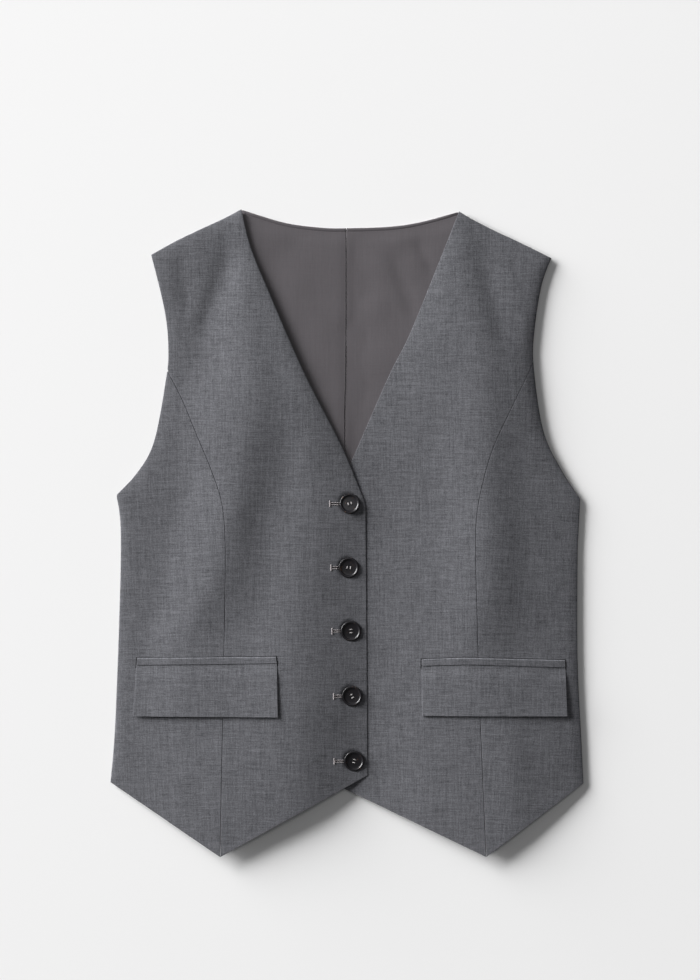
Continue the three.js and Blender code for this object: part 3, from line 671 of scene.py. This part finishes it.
# ---- Pockets ----------------------------------------------------------------------------------------
# A pocket mouth is slit through each front, across the princess seam, and bound by a narrow welt. Its
# flap comes out from under the welt and stands off the front towards its lower edge.
POCKETS = {
    "right": {
        "welt_top": [(-195.5, -116.5), (-66, -115)],
        "flap_top": [(-196, -123.4), (-65, -121.4)],
        "flap_bottom": [(-199, -171), (-64, -171.5)],
        "lift": 0.7, "side_lift": 0.7,
    },
    "left": {
        "welt_top": [(203, -118.5), (109.5, -116), (69.5, -117.5)],
        "flap_top": [(203.5, -125.6), (109.5, -122.6), (69.5, -124.1)],
        "flap_bottom": [(205, -171), (70, -170.5)],
        "lift": 0.55, "side_lift": 0.75,
    },
}
MOUTH_GAP = 0.5  # the groove round a welt
MOUTH_UNDER = 2.6  # how far the mouth goes on under the top of the flap
WELT_PROUD, WELT_DEPTH = 0.6, 2.0  # how far a welt stands off the front, and turns down into the mouth
TUCK, TUCK_DEPTH = 2.4, 1.1  # how far a flap reaches under its welt, and how deep
# A flap is 0.8 thick. It lies FLAP_OFF above the front, but HUG lower near its top, for HUG_LENGTH.
FLAP, FLAP_OFF, HUG, HUG_LENGTH = 0.8, 0.1, 0.75, 14
WAVER = (0.25, 34, 12)  # share, width and seed of the waver in a flap's lift
SLIT_HEIGHTS = (-5, 30)  # a cutter reaches from below the front to above it


def box_cutter(outline):
    """A tall prism over a flat outline, to slit a front with."""
    count = len(outline)
    points = [(x * MM, y * MM, z * MM) for z in SLIT_HEIGHTS for x, y in outline]
    sides = [(i, (i + 1) % count, count + (i + 1) % count, count + i) for i in range(count)]
    return points, [tuple(range(count))[::-1], tuple(range(count, 2 * count)), *sides]


slits = []
for side, pocket in POCKETS.items():
    to_side = -1 if side == "right" else 1
    welt_top, flap_top = np.array(pocket["welt_top"], float), np.array(pocket["flap_top"], float)
    flap_bottom = np.array(pocket["flap_bottom"], float)

    turned_in = welt_top + (0, TUCK)
    welt_flat = patch(along([turned_in[0], flap_top[0]]), along([turned_in[-1], flap_top[-1]]),
                      along(turned_in), along(flap_top), 90, 30)
    x, y = welt_flat[..., 0], welt_flat[..., 1]
    edge_y = np.interp(x * to_side, *(welt_top * (to_side, 1))[::-1].T)
    under = WELT_PROUD - CLOTH - WELT_DEPTH * smoothstep(y - edge_y, -1.0, 0.9)
    drawn = rounding(inset(welt_flat), CLOTH)
    piece = shell(f"welt_{side}_cloth", welt_flat, on_front(side, x, y, under + CLOTH - drawn),
                  on_front(side, x, y, under + drawn), suiting, slide=(0.13, 0.4))
    sew_on(piece, f"welt_{side}")

    tucked = flap_top + (0, TUCK)
    flap_flat = patch(along([tucked[0], flap_bottom[0]]), along([tucked[-1], flap_bottom[-1]]),
                      along(tucked), along(flap_bottom), 110, 56)
    x, y = flap_flat[..., 0], flap_flat[..., 1]
    top_y = np.interp(x * to_side, *(flap_top * (to_side, 1))[::-1].T)
    bottom_y = np.interp(x * to_side, *(flap_bottom * (to_side, 1))[::-1].T)
    down = (top_y - y) / (top_y - bottom_y)
    out = np.clip((x - flap_top[-1, 0]) / (flap_top[0, 0] - flap_top[-1, 0]), 0, 1)
    under = (FLAP_OFF - HUG * (1 - smoothstep(top_y - y, 0, HUG_LENGTH))
             - TUCK_DEPTH * (1 - smoothstep(top_y - y, -TUCK + 0.6, 0.6)))
    waver, waver_width, seed = WAVER
    lift = pocket["lift"] + pocket["side_lift"] * out**2
    lift = lift * (1 + waver * unevenness(x, y * 0, waver_width, seed))
    under = under + np.clip(down, 0, 1) ** 1.5 * lift
    drawn = rounding(inset(flap_flat), FLAP)
    piece = shell(f"flap_{side}_cloth", flap_flat, on_front(side, x, y, under + FLAP - drawn),
                  on_front(side, x, y, under + drawn), suiting, turn=0.4 * to_side, slide=(0.71, 0.05))
    sew_on(piece, f"flap_{side}")

    past = to_side * 2 * MOUTH_GAP
    grown = [welt_top[0] + (past, MOUTH_GAP), *(welt_top[1:-1] + (0, MOUTH_GAP)),
             welt_top[-1] + (-past, MOUTH_GAP), flap_top[-1] + (-past, -MOUTH_UNDER),
             *(flap_top[1:-1][::-1] + (0, -MOUTH_UNDER)), flap_top[0] + (past, -MOUTH_UNDER)]
    slits.append(box_cutter([tuple(p) for p in (grown if to_side > 0 else grown[::-1])]))

# ---- Buttonholes ------------------------------------------------------------------------------------
# Five worked buttonholes lie across the right front: a slit, two lips of close satin stitch in a pale
# thread, and a bar tack at the end away from the edge. A button covers the other end of each.
HOLE = {"slit": 0.9, "lip": 0.95, "length": 21.5, "bar": 5.6, "bar_width": 1.4}
SLIT_START = 0.6  # where the slit begins beside its bar tack
LIP_UP, BAR_UP = 0.12, 0.25  # how far the stitches lie above the cloth
# The bar tacks, top first: each buttonhole runs from its tack towards the edge, past its button.
TACKS = [(-15.6, 27), (-14.6, -32.5), (-13.6, -91.5), (-12.1, -152), (-11.6, -212.5)]

for x, y in TACKS:
    start, end = x + SLIT_START, x + HOLE["length"]
    half = HOLE["slit"] / 2
    slits.append(box_cutter([(start, y - half), (end, y - half), (end, y + half), (start, y + half)]))

cutter_mesh = bpy.data.meshes.new("slits")
points, faces = [], []
for slit_points, slit_faces in slits:
    faces += [tuple(i + len(points) for i in face) for face in slit_faces]
    points += slit_points
cutter_mesh.from_pydata(points, [], faces)
cutter = bpy.data.objects.new("slits", cutter_mesh)
scene.collection.objects.link(cutter)
for name, piece in fronts.items():
    cut = piece.modifiers.new("slits", "BOOLEAN")
    cut.object, cut.operation, cut.solver = cutter, "DIFFERENCE", "EXACT"
shown = bpy.context.evaluated_depsgraph_get()
for name, piece in fronts.items():
    opened = bpy.data.meshes.new_from_object(piece.evaluated_get(shown))
    piece.modifiers.clear()
    plain, piece.data = piece.data, opened
    bpy.data.meshes.remove(plain)
    opened.name = piece.name
    opened.set_sharp_from_angle(angle=math.radians(50))
bpy.data.objects.remove(cutter)

GEOMETRY, MATERIAL, INTEGER = "NodeSocketGeometry", "NodeSocketMaterial", "NodeSocketInt"
stitching, given, result = group(
    "stitch_row",
    {"Rows": (GEOMETRY, None), "Spacing": (FLOAT, 0.0004), "Stitch Length": (FLOAT, 0.001),
     "Thread": (FLOAT, 0.0003), "Unevenness": (FLOAT, 0.1), "Seed": (INTEGER, 1),
     "Material": (MATERIAL, None)},
    {"Stitches": GEOMETRY}, kind="GeometryNodeTree")
row = node(stitching, "GeometryNodeMeshToCurve", {"Mesh": given.outputs["Rows"]})
even = node(stitching, "GeometryNodeResampleCurve", {"Curve": row.outputs["Curve"],
            "Length": given.outputs["Spacing"]}, mode="LENGTH")
bead = node(stitching, "GeometryNodeMeshUVSphere", {"Segments": 8, "Rings": 6, "Radius": 0.5})
across = node(stitching, "ShaderNodeVectorMath", {
    0: node(stitching, "GeometryNodeInputTangent").outputs[0], 1: (0, 0, 1)}, operation="CROSS_PRODUCT")
aim = node(stitching, "FunctionNodeAlignRotationToVector", {"Vector": across.outputs[0]}, axis="X")
swing = node(stitching, "FunctionNodeRandomValue", {"Seed": given.outputs["Seed"]}, data_type="FLOAT")
spread = math_node(stitching, "MULTIPLY", math_node(stitching, "SUBTRACT", swing.outputs[1], 0.5),
                   given.outputs["Unevenness"])
lean = node(stitching, "ShaderNodeCombineXYZ", {"Z": spread})
tilt = node(stitching, "FunctionNodeRotateRotation", {
    "Rotation": aim.outputs[0], "Rotate By": lean.outputs[0]}, rotation_space="LOCAL")
stretch = math_node(stitching, "MULTIPLY", given.outputs["Stitch Length"],
                    math_node(stitching, "ADD", spread, 1.0))
size = node(stitching, "ShaderNodeCombineXYZ", {
    "X": stretch, "Y": given.outputs["Thread"], "Z": given.outputs["Thread"]})
beads = node(stitching, "GeometryNodeInstanceOnPoints", {
    "Points": even.outputs[0], "Instance": bead.outputs["Mesh"], "Rotation": tilt.outputs[0],
    "Scale": size.outputs[0]})
solid = node(stitching, "GeometryNodeRealizeInstances", {0: beads.outputs[0]})
smooth = node(stitching, "GeometryNodeSetShadeSmooth", {0: solid.outputs[0]})
dyed = node(stitching, "GeometryNodeSetMaterial", {
    "Geometry": smooth.outputs[0], "Material": given.outputs["Material"]})
stitching.links.new(dyed.outputs[0], result.inputs["Stitches"])


def stitched(name, lines, thread_material, **inputs):
    """A piece of stitches, set across these lines of points (mm)."""
    mesh = bpy.data.meshes.new(name)
    points = np.vstack(lines) * MM
    starts = np.cumsum([0] + [len(line) for line in lines])
    links = [(i, i + 1) for low, high in zip(starts, starts[1:]) for i in range(low, high - 1)]
    mesh.from_pydata(points.tolist(), links, [])
    piece = bpy.data.objects.new(name, mesh)
    scene.collection.objects.link(piece)
    sewing = piece.modifiers.new("stitches", "NODES")
    sewing.node_group = stitching
    for item in stitching.interface.items_tree:
        if item.in_out == "INPUT" and item.name.replace(" ", "_") in inputs:
            sewing[item.identifier] = inputs[item.name.replace(" ", "_")]
        if item.name == "Material":
            sewing[item.identifier] = thread_material
    made = bpy.data.meshes.new_from_object(piece.evaluated_get(bpy.context.evaluated_depsgraph_get()))
    piece.modifiers.clear()
    piece.data = made
    bpy.data.meshes.remove(mesh)
    made.name = name
    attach(piece, "root")
    return piece


def thread(name, colour):
    """A twisted polyester thread with a faint lustre."""
    made, tree, shader = material(name, Roughness=0.45, Sheen_Weight=0.2)
    spot = node(tree, "ShaderNodeTexCoord").outputs["Object"]
    fleck = node(tree, "ShaderNodeTexNoise", {"Vector": spot, "Scale": 2500.0, "Detail": 2.0})
    ramp = node(tree, "ShaderNodeValToRGB", {"Fac": fleck.outputs[0]})
    ramp.color_ramp.elements[0].position, ramp.color_ramp.elements[1].position = 0.3, 0.7
    ramp.color_ramp.elements[0].color = (*[c * 0.75 for c in colour], 1)
    ramp.color_ramp.elements[1].color = (*[min(1, c * 1.25) for c in colour], 1)
    tree.links.new(ramp.outputs["Color"], shader.inputs["Base Color"])
    return made


hole_thread = thread("buttonhole_thread", (0.30, 0.275, 0.28))
lips, bars = [], []
for x, y in TACKS:
    run = np.linspace(x, x + HOLE["length"], 30)
    off = (HOLE["slit"] + HOLE["lip"]) / 2
    for across_slit in (-off, off):
        lips.append(on_front("right", run, np.full(30, y + across_slit), LIP_UP))
    tall = np.linspace(-HOLE["bar"] / 2, HOLE["bar"] / 2, 12)
    bars.append(on_front("right", np.full(12, x - 0.3), y + tall, BAR_UP))
for name, lines, length, gauge in (("buttonhole_lips", lips, HOLE["lip"], 0.36),
                                   ("buttonhole_bar_tacks", bars, HOLE["bar_width"], 0.42)):
    piece = stitched(name, lines, hole_thread, Spacing=0.34 * MM, Stitch_Length=length * MM,
                     Thread=gauge * MM, Unevenness=0.3, Seed=4)

# ---- Buttons ----------------------------------------------------------------------------------------
# Five polished near-black resin buttons, 30 ligne across, each with a round rim, a dished face and four
# holes, sewn on with two bars of pale thread. They are marbled with a little brown, as horn is.
DISH = 1.25  # how thick the middle of a button is
HOLE_OUT, HOLE_RADIUS = 1.5, 0.8  # how far the holes are from the middle in X and Y, and their radius
SEAT, SEAT_FOR_TIP = 0.05, 3.5  # how far a button lies above its well, and how much more as it tips
THREAD_UP = 0.12  # how far its thread lies above its dish
# How each button tips on its thread, as slopes towards +X and +Y.
TIPS = [(-0.02, 0.11), (0.0, 0.02), (0.02, 0.0), (0.015, 0.01), (0.03, -0.01)]
TURNS = [8, -4, 5, -8, 3]  # how far each is turned, in degrees

resin, tree, shader = material("black_resin", Roughness=0.3)
shader.inputs["Specular IOR Level"].default_value = 0.35
spot = node(tree, "ShaderNodeTexCoord").outputs["Object"]
cloud = node(tree, "ShaderNodeTexNoise", {"Vector": spot, "Scale": 260.0, "Detail": 3.0, "Distortion": 1.2})
ramp = node(tree, "ShaderNodeValToRGB", {"Fac": cloud.outputs[0]})
ramp.color_ramp.elements[0].position, ramp.color_ramp.elements[1].position = 0.64, 0.76
ramp.color_ramp.elements[0].color = (0.0085, 0.0078, 0.0095, 1)
ramp.color_ramp.elements[1].color = (0.085, 0.045, 0.028, 1)
tree.links.new(ramp.outputs["Color"], shader.inputs["Base Color"])
scratch = node(tree, "ShaderNodeTexNoise", {"Vector": spot, "Scale": 1400.0, "Detail": 4.0})
worn = node(tree, "ShaderNodeMapRange", {"Value": scratch.outputs[0], "To Min": 0.26, "To Max": 0.4})
tree.links.new(worn.outputs[0], shader.inputs["Roughness"])

PROFILE = curve([(0.001, 0), (5.5, 0), (8.2, 0.35), (9.3, 1.0), (9.5, 1.5), (9.2, 2.05), (8.5, 2.3),
                 (7.8, 2.15), (7.2, 1.65), (6.4, 1.4), (4.0, 1.28), (0.001, DISH)], 4)
SIDES = 72
around = np.linspace(0, 2 * np.pi, SIDES, endpoint=False)
rings = np.array([[(r * np.cos(a), r * np.sin(a), z) for a in around] for r, z in PROFILE[1:-1]])
count = len(rings)
points = [(0, 0, PROFILE[0, 1]), *rings.reshape(-1, 3).tolist(), (0, 0, PROFILE[-1, 1])]
ring = lambda i, j: 1 + i * SIDES + j % SIDES
faces = [(0, ring(0, j + 1), ring(0, j)) for j in range(SIDES)]
faces += [(ring(i, j), ring(i, j + 1), ring(i + 1, j + 1), ring(i + 1, j))
          for i in range(count - 1) for j in range(SIDES)]
faces += [(len(points) - 1, ring(count - 1, j), ring(count - 1, j + 1)) for j in range(SIDES)]
blank = bpy.data.meshes.new("button_blank")
blank.from_pydata([tuple(np.array(p) * MM) for p in points], [], faces)
blank.materials.append(resin)
drill_points, drill_faces = [], []
for i in range(4):
    angle = (i + 0.5) * math.pi / 2
    centre = np.array([math.cos(angle), math.sin(angle)]) * HOLE_OUT * math.sqrt(2)
    outline = [tuple(centre + np.array([math.cos(a), math.sin(a)]) * HOLE_RADIUS)
               for a in np.linspace(0, 2 * np.pi, 20, endpoint=False)]
    hole_points, hole_faces = box_cutter(outline)
    drill_faces += [tuple(i + len(drill_points) for i in face) for face in hole_faces]
    drill_points += hole_points
drill_mesh = bpy.data.meshes.new("drill")
drill_mesh.from_pydata(drill_points, [], drill_faces)
drill = bpy.data.objects.new("drill", drill_mesh)
scene.collection.objects.link(drill)
turned = bpy.data.objects.new("turned", blank)
scene.collection.objects.link(turned)
drilling = turned.modifiers.new("holes", "BOOLEAN")
drilling.object, drilling.operation, drilling.solver = drill, "DIFFERENCE", "EXACT"
drilled = bpy.data.meshes.new_from_object(turned.evaluated_get(bpy.context.evaluated_depsgraph_get()))
bpy.data.objects.remove(turned)
bpy.data.objects.remove(drill)
drilled.polygons.foreach_set("use_smooth", np.ones(len(drilled.polygons), bool))
drilled.set_sharp_from_angle(angle=math.radians(40))

button_thread = thread("button_thread", (0.42, 0.40, 0.40))
thread_lines = []
for number, (tip_x, tip_y) in enumerate(TIPS, 1):
    low, high = (np.array(corner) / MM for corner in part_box(f"button_{number}"))
    x, y = (low + high)[:2] / 2
    above = SEAT + SEAT_FOR_TIP * math.hypot(tip_x, tip_y)
    seat = on_front("right", np.array([x]), np.array([y]), above)[0]
    facing = Vector((tip_x, tip_y, 1))
    turn = facing.to_track_quat("Z", "Y").to_matrix().to_4x4()
    spin = Matrix.Rotation(math.radians(TURNS[number - 1]), 4, "Z")
    lift = Matrix.Translation(Vector(seat) * MM)
    mesh = drilled.copy()
    mesh.transform(lift @ turn @ spin)
    mesh.name = f"button_{number}_resin"
    button = bpy.data.objects.new(mesh.name, mesh)
    scene.collection.objects.link(button)
    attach(button, "root")
    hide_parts(f"button_{number}")
    for bar_x in (-HOLE_OUT, HOLE_OUT):
        bar = [Vector((bar_x + dx, 0, DISH + THREAD_UP)) * MM for dx in (-0.3, 0.3)]
        thread_lines.append(np.array([lift @ turn @ spin @ p for p in bar]) / MM)
piece = stitched("button_threads", thread_lines, button_thread, Spacing=0.2 * MM, Stitch_Length=2.9 * MM,
                 Thread=0.3 * MM, Unevenness=0.15, Seed=11)
